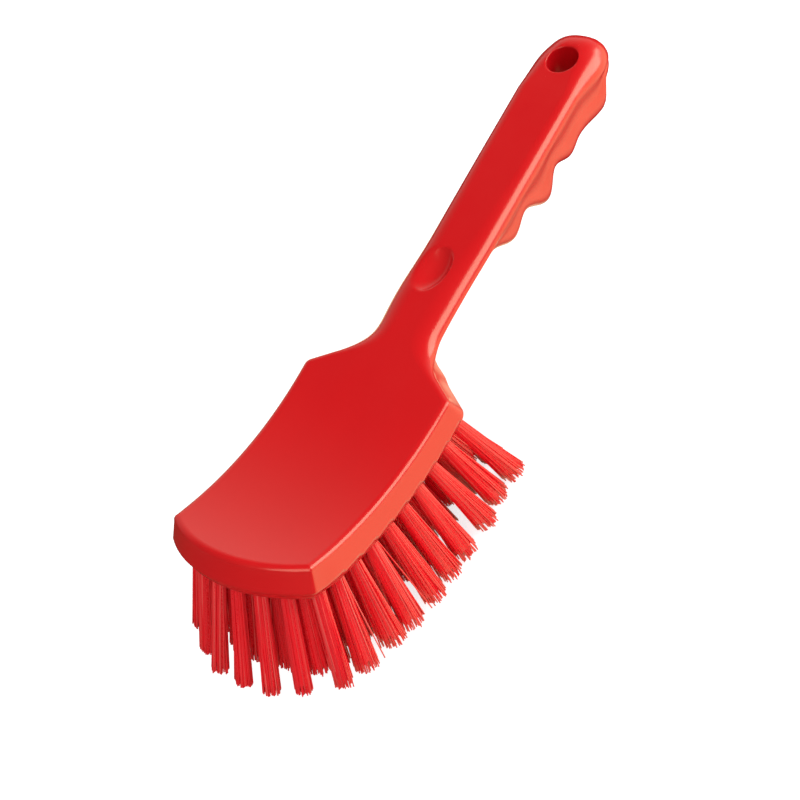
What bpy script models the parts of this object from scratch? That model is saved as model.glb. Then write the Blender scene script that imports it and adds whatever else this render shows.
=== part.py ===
"""Hand scrubbing brush: a one-piece moulded head and handle with stapled tufts.

The handle lies level along +X with its top flat at right angles to +Z. The
head is swept up along an arc towards -X, so its top is dished and its
underside is rounded, and the tufts fan out from the underside.

Places on the brush are given in sweep coordinates: station runs along the top
centre line (0 where the dished head meets the straight handle, negative
towards the front), side runs across the brush, and depth runs down from the
top surface at right angles to it.
"""

import math

import bmesh
import bpy
from mathutils import Matrix, Vector

# Head block, seen from above
HEAD_WIDTH_REAR = 0.0682
HEAD_WIDTH_FRONT = 0.0648
HEAD_RADIUS = 0.1505
FRONT_CORNER_STATION = -0.0806
FRONT_ARC_RISE = 0.0111
REAR_CORNER_STATION = 0.006
FRONT_CORNER_RADIUS = 0.0018
REAR_CORNER_RADIUS = 0.0035

# Head block, seen from the side
BLOCK_THICKNESS = 0.0136
RIDGE_DEPTH = 0.01
SIDE_FLARE = 0.0023
FRONT_FLARE = 0.0012
FRONT_FLARE_LENGTH = 0.012
LIP_INSET = 0.002
HEAD_EDGE_REACH = 0.0028
HEAD_EDGE_DROP = 0.0016

# Neck and handle, seen from above
NECK_STATION = 0.0203
NECK_WIDTH = 0.028
NECK_RADIUS = 0.0236
HANDLE_WIDTH = 0.0284
HANDLE_ROUND_STATION = 0.1627
HANDLE_ROUND_LENGTH = 0.0205
HANDLE_ROUND_POWER = 2.7
BLEND_START_STATION = 0.012
BLEND_LENGTH = 0.016
CREASE_START_STATION = 0.0178
CREASE_LENGTH = 0.009

# Rounded top edge of the handle, from the neck to the end
HANDLE_EDGE_STATIONS = (0.02, 0.04, 0.058, 0.078, 0.11, 0.15, 0.175)
HANDLE_EDGE_REACHES = (0.009, 0.0096, 0.0088, 0.0074, 0.006, 0.0051, 0.01)
HANDLE_EDGE_DROPS = (0.0058, 0.0052, 0.005, 0.0047, 0.0043, 0.004, 0.0098)

# Neck and grip, seen from the side
NECK_THICKNESS = 0.0102
GRIP_START_STATION = 0.074
GRIP_LENGTH = 0.0978
GRIP_DEEPEST = 0.0252
GRIP_PLACE_SHARES = (0.0, 0.158, 0.258, 0.409, 0.518, 0.637, 0.715, 0.91, 1.0)
GRIP_DEPTH_SHARES = (0.405, 0.732, 0.62, 0.976, 0.726, 0.919, 0.865, 1.0, 0.693)
NECK_UNDER_REACH = 0.0076
NECK_UNDER_RISE = 0.0048
GRIP_UNDER_REACH = 0.0041
GRIP_UNDER_RISE = 0.0054
GROOVE_WAIST = 0.0011
UNDER_PINCH = 0.0002
END_SWELL = 0.001
END_SWELL_STATION = 0.15
END_SWELL_LENGTH = 0.02

# Thumb dish in the top of the neck
DISH_STATION = 0.0575
DISH_LENGTH = 0.027
DISH_WIDTH = 0.0175
DISH_HEIGHT = 0.0075
DISH_DEPTH = 0.0021

# Hanging hole near the end of the handle
HANG_HOLE_STATION = 0.1656
HANG_HOLE_DIAMETER = 0.0134
HANG_HOLE_CHAMFER = 0.0006

# Tufts
TUFT_DIAMETER = 0.0048
TUFT_CLEARANCE = 0.0003
TUFT_ROOT_LENGTH = 0.008
TUFT_ROOT_SINK = 0.0006
BRISTLE_LENGTH = 0.044
STRANDS_PER_TUFT = 8
STRAND_GAP = 0.0003
TUFT_FLARE = 0.0016
TUFT_FRONT_REACH = 0.0036
TUFT_FRONT_ARC_RISE = 0.0088
TUFT_FRONT_MARGIN = 0.0041
TUFT_REAR_SETBACK = 0.0018
TUFT_REAR_ARC_RISE = 0.006
TUFT_REAR_MARGIN = 0.0032
TUFT_COLUMN_SHARES = (-1.0, -0.667, -0.333, 0.0, 0.333, 0.667, 1.0)
TUFT_COLUMN_COUNTS = (10, 8, 7, 7, 7, 8, 10)
TUFT_SPLAY_ANGLE = math.radians(9)
TUFT_FRONT_LEAN_ANGLE = math.radians(-5)
TUFT_CORNER_LEAN_ANGLE = math.radians(2.5)
TUFT_REAR_LEAN_ANGLE = math.radians(8)
STANDING_FLAT = 0.0005

# Fineness of the curves
SHARP_ANGLE = math.radians(35)
FRONT_STEPS = 8
CORNER_STEPS = 2
SIDE_STEPS = 9
REAR_CORNER_STEPS = 3
SHOULDER_STEPS = 2
NECK_STEPS = 4
HANDLE_STEPS = 44
HANDLE_END_STEPS = 8
EDGE_STEPS = 3
UNDER_STEPS = 3
DISH_STEPS = 20
HANG_HOLE_STEPS = 20
CUT_OVERRUN = 0.002

# Finishes as colour, roughness and metallic value
HOUSING_FINISH = ((0.62, 0.012, 0.014, 1.0), 0.28, 0.0)
BRISTLE_FINISH = ((0.66, 0.008, 0.018, 1.0), 0.45, 0.0)


def clear_scene():
    """Remove every object, so that the brush is alone in its scene."""
    for thing in list(bpy.data.objects):
        bpy.data.objects.remove(thing, do_unlink=True)


def make_material(name, finish):
    """Return a Principled material from a colour, roughness and metallic value."""
    colour, roughness, metallic = finish
    material = bpy.data.materials.new(name)
    material.use_nodes = True
    shader = material.node_tree.nodes["Principled BSDF"]
    shader.inputs["Base Color"].default_value = colour
    shader.inputs["Roughness"].default_value = roughness
    shader.inputs["Metallic"].default_value = metallic
    material.diffuse_color = colour
    return material


def add_object(name, mesh, parent):
    """Link a mesh into the scene as an object under a parent."""
    thing = bpy.data.objects.new(name, mesh)
    bpy.context.scene.collection.objects.link(thing)
    thing.parent = parent
    return thing


def mix(start, end, share):
    """Return the value that lies a share of the way from start to end."""
    return start + (end - start) * share


def ease(share):
    """Return a share that starts and stops gently between 0 and 1."""
    held = min(max(share, 0.0), 1.0)
    return (1.0 - math.cos(math.pi * held)) / 2.0


def sweep_frame(station):
    """Return the top centre point, the run and the upward direction at a station."""
    if station >= 0.0:
        return Vector((station, 0.0, 0.0)), Vector((1.0, 0.0, 0.0)), Vector((0.0, 0.0, 1.0))
    angle = -station / HEAD_RADIUS
    sine = math.sin(angle)
    cosine = math.cos(angle)
    point = Vector((-HEAD_RADIUS * sine, 0.0, HEAD_RADIUS * (1.0 - cosine)))
    return point, Vector((cosine, 0.0, -sine)), Vector((sine, 0.0, cosine))


def on_brush(station, side, depth):
    """Turn a station, side and depth into a point."""
    point, run, up = sweep_frame(station)
    return point + Vector((0.0, side, 0.0)) - up * depth


def handle_share(station):
    """Return 0 on the head block, 1 on the handle and a blend between them."""
    return ease((station - BLEND_START_STATION) / BLEND_LENGTH)


def under_thickness(station):
    """Return how thick the brush is at a station, with its finger grooves."""
    share = (station - GRIP_START_STATION) / GRIP_LENGTH
    if share <= GRIP_PLACE_SHARES[0]:
        return mix(BLOCK_THICKNESS, NECK_THICKNESS, handle_share(station))
    for index in range(1, len(GRIP_PLACE_SHARES)):
        if share <= GRIP_PLACE_SHARES[index]:
            before = GRIP_PLACE_SHARES[index - 1]
            along = (share - before) / (GRIP_PLACE_SHARES[index] - before)
            depths = GRIP_DEPTH_SHARES[index - 1:index + 1]
            return GRIP_DEEPEST * mix(depths[0], depths[1], ease(along))
    return GRIP_DEEPEST * GRIP_DEPTH_SHARES[-1]


def crease_share(station):
    """Return 0 on the head block's sides, 1 on the handle's and a short blend between them."""
    return ease((station - CREASE_START_STATION) / CREASE_LENGTH)


def value_along(station, stations, values):
    """Return the value at a station from a list of stations and their values."""
    if station <= stations[0]:
        return values[0]
    for index in range(1, len(stations)):
        if station <= stations[index]:
            before = stations[index - 1]
            along = (station - before) / (stations[index] - before)
            return mix(values[index - 1], values[index], along)
    return values[-1]


def corner_arc(before, corner, after, radius, steps):
    """Return the points of a round corner between two straight runs."""
    into = (corner - before).normalized()
    away = (after - corner).normalized()
    turn = into.angle_signed(away)
    reach = radius * math.tan(abs(turn) / 2.0)
    start = corner - into * reach
    inward = Vector((into.y, -into.x)) if turn > 0.0 else Vector((-into.y, into.x))
    centre = start + inward * radius
    points = []
    for step in range(steps + 1):
        spoke = start - centre
        spoke.rotate(Matrix.Rotation(-turn * step / steps, 2))
        points.append(centre + spoke)
    return points


def mitre(before, corner, after):
    """Return how far a corner moves for each unit that its two sides move out."""
    into = (corner - before).normalized()
    away = (after - corner).normalized()
    out_before = Vector((-into.y, into.x))
    out_after = Vector((-away.y, away.x))
    return (out_before + out_after) / (1.0 + out_before.dot(out_after))


def front_arc_radius(half_chord, rise):
    """Return the radius of an arc from half its chord and its rise."""
    return (half_chord ** 2 + rise ** 2) / (2.0 * rise)


def sharp_outline(offset):
    """Return the five places that the half outline turns at, moved out by an offset."""
    apex = Vector((FRONT_CORNER_STATION - FRONT_ARC_RISE, 0.0))
    front = Vector((FRONT_CORNER_STATION, HEAD_WIDTH_FRONT / 2.0))
    rear = Vector((REAR_CORNER_STATION, HEAD_WIDTH_REAR / 2.0))
    neck = Vector((NECK_STATION, NECK_WIDTH / 2.0))
    tail = Vector((HANDLE_ROUND_STATION, HANDLE_WIDTH / 2.0))
    radius = front_arc_radius(front.y, FRONT_ARC_RISE)
    slope = math.asin(front.y / radius)
    before_front = front - Vector((math.sin(slope), math.cos(slope)))
    moved_apex = apex - Vector((offset, 0.0))
    moved_front = front + mitre(before_front, front, rear) * offset
    moved_rear = rear + mitre(front, rear, neck) * offset
    moved_neck = neck + mitre(rear, neck, tail) * offset
    moved_tail = tail + Vector((0.0, offset))
    return moved_apex, moved_front, moved_rear, moved_neck, moved_tail


def spread(start, end, steps):
    """Return evenly spaced points between two ends, without the ends."""
    return [start.lerp(end, step / steps) for step in range(1, steps)]


def half_outline(offset):
    """Return the outline from the front apex to the handle's end, on one side."""
    apex, front, rear, neck, tail = sharp_outline(offset)
    radius = front_arc_radius(front.y, front.x - apex.x)
    centre = Vector((apex.x + radius, 0.0))
    whole = math.asin(front.y / radius)
    corner_radius = max(FRONT_CORNER_RADIUS + offset, FRONT_CORNER_RADIUS / 4.0)
    rear_radius = max(REAR_CORNER_RADIUS + offset, REAR_CORNER_RADIUS / 4.0)
    before_front = front - Vector((math.sin(whole), math.cos(whole)))
    front_corner = corner_arc(before_front, front, rear, corner_radius, CORNER_STEPS)
    rear_corner = corner_arc(front, rear, neck, rear_radius, REAR_CORNER_STEPS)
    neck_bend = corner_arc(rear, neck, tail, NECK_RADIUS - offset, NECK_STEPS)
    sweep = whole - (front - front_corner[0]).length / radius
    points = []
    for step in range(FRONT_STEPS):
        angle = sweep * step / FRONT_STEPS
        points.append(centre + Vector((-radius * math.cos(angle), radius * math.sin(angle))))
    points += front_corner
    points += spread(front_corner[-1], rear_corner[0], SIDE_STEPS)
    points += rear_corner
    points += spread(rear_corner[-1], neck_bend[0], SHOULDER_STEPS)
    points += neck_bend
    points += spread(neck_bend[-1], tail, HANDLE_STEPS)
    length = HANDLE_ROUND_LENGTH + offset
    power = 2.0 / HANDLE_ROUND_POWER
    for step in range(HANDLE_END_STEPS):
        angle = math.pi / 2.0 * step / HANDLE_END_STEPS
        along = tail.x + length * math.sin(angle) ** power
        points.append(Vector((along, tail.y * math.cos(angle) ** power)))
    points.append(Vector((tail.x + length, 0.0)))
    return points


def grip_share(station):
    """Return 0 at the neck's thickness and 1 at the deepest finger ridge."""
    return (under_thickness(station) - NECK_THICKNESS) / (GRIP_DEEPEST - NECK_THICKNESS)


def head_levels(station):
    """Return the head block's rings at a station as offsets and depths, from top to underside."""
    levels = []
    flare = mix(FRONT_FLARE, SIDE_FLARE, ease((station - FRONT_CORNER_STATION) / FRONT_FLARE_LENGTH))
    for step in range(EDGE_STEPS + 1):
        angle = math.pi / 2.0 * step / EDGE_STEPS
        offset = HEAD_EDGE_REACH * (math.sin(angle) - 1.0)
        levels.append((offset, HEAD_EDGE_DROP * (1.0 - math.cos(angle))))
    levels.append((flare, RIDGE_DEPTH))
    bottom = flare - LIP_INSET
    for step in range(UNDER_STEPS):
        levels.append((bottom - HEAD_EDGE_REACH * step, BLOCK_THICKNESS))
    return levels


def handle_levels(station):
    """Return the handle's rings at a station as offsets and depths."""
    levels = []
    top_reach = value_along(station, HANDLE_EDGE_STATIONS, HANDLE_EDGE_REACHES)
    drop = value_along(station, HANDLE_EDGE_STATIONS, HANDLE_EDGE_DROPS)
    swell = END_SWELL * ease((station - END_SWELL_STATION) / END_SWELL_LENGTH)
    for step in range(EDGE_STEPS + 1):
        angle = math.pi / 2.0 * step / EDGE_STEPS
        offset = top_reach * (math.sin(angle) - 1.0) + swell * math.sin(angle) ** 2
        levels.append((offset, drop * (1.0 - math.cos(angle))))
    thickness = under_thickness(station)
    share = min(max(grip_share(station), 0.0), 1.0)
    reach = mix(NECK_UNDER_REACH, GRIP_UNDER_REACH, share)
    rise = mix(NECK_UNDER_RISE, GRIP_UNDER_RISE, share)
    waist = mix(GROOVE_WAIST, UNDER_PINCH, share)
    for step in range(UNDER_STEPS + 1):
        angle = math.pi / 2.0 * step / UNDER_STEPS
        offset = swell - waist - reach * (1.0 - math.cos(angle))
        levels.append((offset, thickness - rise * (1.0 - math.sin(angle))))
    return levels


def ring_point(level, index, guide, outlines):
    """Return one point of a ring, blended from the head's and the handle's rings."""
    station = guide[index].x
    share = handle_share(station) if level < EDGE_STEPS else crease_share(station)
    head_offset, head_depth = head_levels(station)[level]
    handle_offset, handle_depth = handle_levels(station)[level]
    head_point = outlines(head_offset)[index]
    handle_point = outlines(handle_offset)[index]
    plan = head_point.lerp(handle_point, share)
    return on_brush(plan.x, plan.y, mix(head_depth, handle_depth, share))


def outline_store():
    """Return a function that keeps each offset outline after its first use."""
    kept = {}

    def outline_at(offset):
        """Return the half outline moved out by an offset."""
        key = round(offset, 9)
        if key not in kept:
            kept[key] = half_outline(offset)
        return kept[key]

    return outline_at


def add_ring(shape, level, guide, outlines):
    """Add one ring of points and return its two halves, which share both ends."""
    first = []
    for index in range(len(guide)):
        first.append(shape.verts.new(ring_point(level, index, guide, outlines)))
    second = [first[0]]
    for vertex in first[1:-1]:
        second.append(shape.verts.new(vertex.co * Vector((1.0, -1.0, 1.0))))
    second.append(first[-1])
    return first, second


def bridge_rings(shape, upper, lower):
    """Join two rings by a band of faces."""
    for side in range(2):
        for index in range(len(upper[side]) - 1):
            corners = [upper[side][index], upper[side][index + 1]]
            corners += [lower[side][index + 1], lower[side][index]]
            shape.faces.new(corners)


def close_ring(shape, ring):
    """Close a ring with strips that run straight across the brush."""
    first, second = ring
    last = len(first) - 1
    for index in range(last):
        corners = [first[index], first[index + 1]]
        if index + 1 < last:
            corners.append(second[index + 1])
        if index > 0:
            corners.append(second[index])
        shape.faces.new(corners)


def make_body_mesh():
    """Loft the head and handle as one skin through rings that follow the outline."""
    shape = bmesh.new()
    guide = half_outline(0.0)
    outlines = outline_store()
    rings = []
    for level in range(EDGE_STEPS + UNDER_STEPS + 2):
        rings.append(add_ring(shape, level, guide, outlines))
    for upper, lower in zip(rings, rings[1:]):
        bridge_rings(shape, upper, lower)
    close_ring(shape, rings[0])
    close_ring(shape, rings[-1])
    bmesh.ops.recalc_face_normals(shape, faces=shape.faces)
    mesh = bpy.data.meshes.new("brush_body")
    shape.to_mesh(mesh)
    shape.free()
    return mesh


def turned_shape(profile, steps):
    """Turn a profile of radius and height pairs about Z into a closed solid."""
    shape = bmesh.new()
    rings = []
    for radius, height in profile:
        ring = bmesh.ops.create_circle(shape, segments=steps, radius=radius)["verts"]
        bmesh.ops.translate(shape, verts=ring, vec=(0.0, 0.0, height))
        rings.append(ring)
    for lower, upper in zip(rings, rings[1:]):
        for index in range(steps):
            following = (index + 1) % steps
            shape.faces.new((lower[index], lower[following], upper[following], upper[index]))
    shape.faces.new(rings[0])
    shape.faces.new(rings[-1])
    bmesh.ops.recalc_face_normals(shape, faces=shape.faces)
    return shape


def add_shape(cuts, shape, matrix):
    """Add a closed solid to the cuts at a place, and let go of its own copy."""
    pattern = bpy.data.meshes.new("pattern")
    shape.to_mesh(pattern)
    shape.free()
    pattern.transform(matrix)
    cuts.from_mesh(pattern)
    bpy.data.meshes.remove(pattern)


def add_hang_hole(cuts):
    """Add the hanging hole with its chamfered rims to the cuts."""
    radius = HANG_HOLE_DIAMETER / 2.0
    wide = radius + HANG_HOLE_CHAMFER + CUT_OVERRUN
    bottom = -under_thickness(HANG_HOLE_STATION)
    profile = [
        (wide, bottom - CUT_OVERRUN),
        (radius, bottom + HANG_HOLE_CHAMFER),
        (radius, -HANG_HOLE_CHAMFER),
        (wide, CUT_OVERRUN),
    ]
    place = Matrix.Translation(on_brush(HANG_HOLE_STATION, 0.0, 0.0))
    add_shape(cuts, turned_shape(profile, HANG_HOLE_STEPS), place)


def add_thumb_dish(cuts):
    """Add the flattened ball that scoops the thumb dish to the cuts."""
    shape = bmesh.new()
    bmesh.ops.create_uvsphere(shape, u_segments=DISH_STEPS, v_segments=DISH_STEPS, radius=1.0)
    size = Vector((DISH_LENGTH, DISH_WIDTH, DISH_HEIGHT)) / 2.0
    bmesh.ops.scale(shape, vec=size, verts=shape.verts)
    middle = on_brush(DISH_STATION, 0.0, DISH_DEPTH - DISH_HEIGHT / 2.0)
    add_shape(cuts, shape, Matrix.Translation(middle))


def tuft_matrix(station, side, lean, splay):
    """Return the place and turn of a tuft whose bristles leave the block there."""
    point, run, up = sweep_frame(station)
    down = run * math.sin(lean) - up * math.cos(lean)
    axis = down * math.cos(splay) + Vector((0.0, math.sin(splay), 0.0))
    across = Vector((0.0, 1.0, 0.0)).cross(axis).normalized()
    third = (-axis).cross(across)
    turn = Matrix((across, third, -axis)).transposed().to_4x4()
    return Matrix.Translation(on_brush(station, side, BLOCK_THICKNESS)) @ turn


def tuft_places():
    """Return the name and matrix of each tuft, column by column from the front."""
    places = []
    front_spread = HEAD_WIDTH_FRONT / 2.0 - TUFT_FRONT_MARGIN
    rear_spread = HEAD_WIDTH_REAR / 2.0 - TUFT_REAR_MARGIN
    for column, share in enumerate(TUFT_COLUMN_SHARES):
        count = TUFT_COLUMN_COUNTS[column]
        front = FRONT_CORNER_STATION - TUFT_FRONT_REACH + TUFT_FRONT_ARC_RISE * share ** 2
        rear = REAR_CORNER_STATION - TUFT_REAR_SETBACK + TUFT_REAR_ARC_RISE * (1.0 - share ** 2)
        front_lean = mix(TUFT_FRONT_LEAN_ANGLE, TUFT_CORNER_LEAN_ANGLE, share ** 2)
        for index in range(count):
            along = index / (count - 1)
            station = mix(front, rear, along)
            side = share * mix(front_spread, rear_spread, along)
            lean = mix(front_lean, TUFT_REAR_LEAN_ANGLE, along)
            name = "tuft_column%d_%02d" % (column + 1, index + 1)
            places.append((name, tuft_matrix(station, side, lean, TUFT_SPLAY_ANGLE * share)))
    return places


def add_tuft_holes(cuts, places):
    """Add a blind hole for the root of each tuft to the cuts."""
    radius = TUFT_DIAMETER / 2.0 + TUFT_CLEARANCE / math.cos(math.pi / STRANDS_PER_TUFT)
    top = TUFT_ROOT_SINK + TUFT_ROOT_LENGTH + TUFT_CLEARANCE
    profile = [(radius, -CUT_OVERRUN), (radius, top)]
    for name, matrix in places:
        add_shape(cuts, turned_shape(profile, STRANDS_PER_TUFT), matrix)


def make_body(places, material, parent):
    """Make the moulded head and handle and cut all its holes with one cutter."""
    mesh = make_body_mesh()
    mesh.materials.append(material)
    mesh.shade_smooth()
    mesh.set_sharp_from_angle(angle=SHARP_ANGLE)
    body = add_object("brush_body", mesh, parent)
    cuts = bmesh.new()
    add_hang_hole(cuts)
    add_thumb_dish(cuts)
    add_tuft_holes(cuts, places)
    cut_mesh = bpy.data.meshes.new("body_cuts")
    cuts.to_mesh(cut_mesh)
    cuts.free()
    cutter = add_object("body_cuts", cut_mesh, parent)
    cutter.display_type = "WIRE"
    cutter.hide_render = True
    cut = body.modifiers.new("holes_and_dish", "BOOLEAN")
    cut.operation = "DIFFERENCE"
    cut.solver = "EXACT"
    cut.object = cutter
    return body


def make_tuft_mesh(name, material):
    """Make a tuft: a round root with its strands drawn out of the lower end."""
    shape = bmesh.new()
    radius = TUFT_DIAMETER / 2.0
    fan = bmesh.ops.create_circle(
        shape, cap_ends=True, cap_tris=True, segments=STRANDS_PER_TUFT, radius=radius
    )
    bmesh.ops.translate(shape, verts=fan["verts"], vec=(0.0, 0.0, TUFT_ROOT_SINK))
    rim = [edge for edge in shape.edges if edge.is_boundary]
    sleeve = bmesh.ops.extrude_edge_only(shape, edges=rim)
    raised = [item for item in sleeve["geom"] if isinstance(item, bmesh.types.BMVert)]
    bmesh.ops.translate(shape, verts=raised, vec=(0.0, 0.0, TUFT_ROOT_LENGTH))
    bmesh.ops.holes_fill(shape, edges=[edge for edge in shape.edges if edge.is_boundary])
    sectors = [face for face in shape.faces if len(face.verts) == 3]
    bmesh.ops.inset_individual(shape, faces=sectors, thickness=STRAND_GAP / 2.0)
    for sector in sectors:
        out = sector.calc_center_median()
        out.z = 0.0
        ends = bmesh.ops.extrude_discrete_faces(shape, faces=[sector])["faces"][0].verts
        length = BRISTLE_LENGTH + TUFT_ROOT_SINK
        bmesh.ops.translate(shape, verts=ends, vec=out.normalized() * TUFT_FLARE - Vector((0.0, 0.0, length)))
    bmesh.ops.recalc_face_normals(shape, faces=shape.faces)
    mesh = bpy.data.meshes.new(name)
    shape.to_mesh(mesh)
    shape.free()
    mesh.materials.append(material)
    return mesh


def lowest_tip(mesh, matrix):
    """Return the height of the lowest point of a tuft."""
    return min((matrix @ vertex.co).z for vertex in mesh.vertices)


def trim_flat(mesh, matrix, floor):
    """Cut the tips that reach below the floor flat along their strands."""
    back = matrix.inverted()
    rise = matrix.to_3x3() @ Vector((0.0, 0.0, 1.0))
    for vertex in mesh.vertices:
        point = matrix @ vertex.co
        if point.z < floor:
            point += rise * (floor - point.z) / rise.z
            vertex.co = back @ point


def make_tufts(places, material, parent):
    """Make every tuft; those that the brush stands on get their own trimmed mesh."""
    shared = make_tuft_mesh("tuft", material)
    floor = min(lowest_tip(shared, matrix) for name, matrix in places) + STANDING_FLAT
    tufts = []
    for name, matrix in places:
        mesh = shared
        if lowest_tip(shared, matrix) < floor:
            mesh = shared.copy()
            trim_flat(mesh, matrix, floor)
        tuft = add_object(name, mesh, parent)
        tuft.matrix_local = matrix
        tufts.append(tuft)
    return tufts, floor


def stand_on_floor(root, pieces, floor):
    """Put the brush over the origin, in the middle of its length, on the floor."""
    bpy.context.view_layer.update()
    stations = []
    for piece in pieces:
        stations += [(piece.matrix_world @ vertex.co).x for vertex in piece.data.vertices]
    root.location = (-(min(stations) + max(stations)) / 2.0, 0.0, -floor)


def build_brush():
    """Build the whole brush under one empty."""
    clear_scene()
    housing = make_material("housing_plastic", HOUSING_FINISH)
    bristle = make_material("bristle_filament", BRISTLE_FINISH)
    root = add_object("brush", None, None)
    places = tuft_places()
    body = make_body(places, housing, root)
    tufts, floor = make_tufts(places, bristle, root)
    stand_on_floor(root, [body] + tufts, floor)


build_brush()
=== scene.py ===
"""Looks of the hand scrubbing brush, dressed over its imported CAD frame.

Places on the brush are sweep coordinates in metres, as in its CAD source:
station runs along the top centre line (0 where the swept head meets the
straight handle, negative towards the front), side runs across the brush, and
depth runs down from the top surface at right angles to it.
"""

import logging
import math
from dataclasses import dataclass, field
from enum import Enum
from typing import Any, Sequence

import bmesh
import bpy
import numpy as np
from mathutils import Matrix, Vector


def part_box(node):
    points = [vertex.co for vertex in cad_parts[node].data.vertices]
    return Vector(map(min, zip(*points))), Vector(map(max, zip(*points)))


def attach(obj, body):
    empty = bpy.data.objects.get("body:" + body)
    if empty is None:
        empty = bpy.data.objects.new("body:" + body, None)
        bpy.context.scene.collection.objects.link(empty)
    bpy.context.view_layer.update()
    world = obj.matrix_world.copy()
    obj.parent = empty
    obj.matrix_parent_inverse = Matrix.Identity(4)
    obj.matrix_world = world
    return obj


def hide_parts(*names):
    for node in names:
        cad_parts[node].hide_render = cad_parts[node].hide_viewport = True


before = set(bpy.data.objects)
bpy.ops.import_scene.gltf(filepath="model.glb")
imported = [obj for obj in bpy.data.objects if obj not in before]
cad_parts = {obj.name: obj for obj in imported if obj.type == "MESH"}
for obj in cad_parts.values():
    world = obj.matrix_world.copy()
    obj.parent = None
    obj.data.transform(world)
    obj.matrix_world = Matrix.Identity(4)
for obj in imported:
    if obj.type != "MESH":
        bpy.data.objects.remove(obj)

Array = np.ndarray
Triple = tuple[float, float, float]
Span = tuple[float, float]
Row = tuple[float, ...]

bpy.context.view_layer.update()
LOG = logging.getLogger("brush")


class Slot(Enum):
    """The material slots of the record."""

    HOUSING = "housing_plastic"
    BRISTLE = "bristle_filament"


class RayKind(Enum):
    """The kinds of ray that see the plain white background."""

    CAMERA = "Is Camera Ray"
    GLOSSY = "Is Glossy Ray"
    TRANSMISSION = "Is Transmission Ray"


class SurfaceMark(Enum):
    """The number attributes that meshes carry for their finishes."""

    RUB = "rub"
    # painted shade along the slit under the shoulder's edge
    SLIT_SHADE = "slit"
    TONE = "tone"
    ALONG = "along"


@dataclass(frozen=True)
class Cloud:
    """A noise pattern: its size in metres, finer layers, stretch by axis and the span that it is cut to."""

    size: float
    detail: float
    stretch: Triple = (1.0, 1.0, 1.0)
    span: Span | None = None


class Number:
    """A number socket that takes part in Python expressions as Math nodes."""

    def __init__(self, graph: "ShaderGraph", socket: bpy.types.NodeSocket) -> None:
        """Keep the graph and the output socket that this number stands for."""
        self.graph = graph
        self.socket = socket

    def _join(self, operation: str, first: Any, second: Any) -> "Number":
        """Return the Math node of an operation on two numbers.

        Args:
            operation: The operation's name in Blender.
            first: The number, socket or plain value on the left.
            second: The number, socket or plain value on the right.

        Returns:
            The result as another number.
        """
        node = self.graph.add("ShaderNodeMath", {"operation": operation}, {0: first, 1: second})
        return Number(self.graph, node.outputs[0])

    def __add__(self, other: Any) -> "Number":
        """Return this plus other."""
        return self._join("ADD", self, other)

    def __radd__(self, other: Any) -> "Number":
        """Return other plus this."""
        return self._join("ADD", other, self)

    def __sub__(self, other: Any) -> "Number":
        """Return this minus other."""
        return self._join("SUBTRACT", self, other)

    def __rsub__(self, other: Any) -> "Number":
        """Return other minus this."""
        return self._join("SUBTRACT", other, self)

    def __mul__(self, other: Any) -> "Number":
        """Return this times other."""
        return self._join("MULTIPLY", self, other)

    def __rmul__(self, other: Any) -> "Number":
        """Return other times this."""
        return self._join("MULTIPLY", other, self)

    def __pow__(self, other: Any) -> "Number":
        """Return this to the power of other."""
        return self._join("POWER", self, other)

    def at_least(self, other: Any) -> "Number":
        """Return the larger of this and other."""
        return self._join("MAXIMUM", self, other)

    def at_most(self, other: Any) -> "Number":
        """Return the smaller of this and other."""
        return self._join("MINIMUM", self, other)


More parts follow.
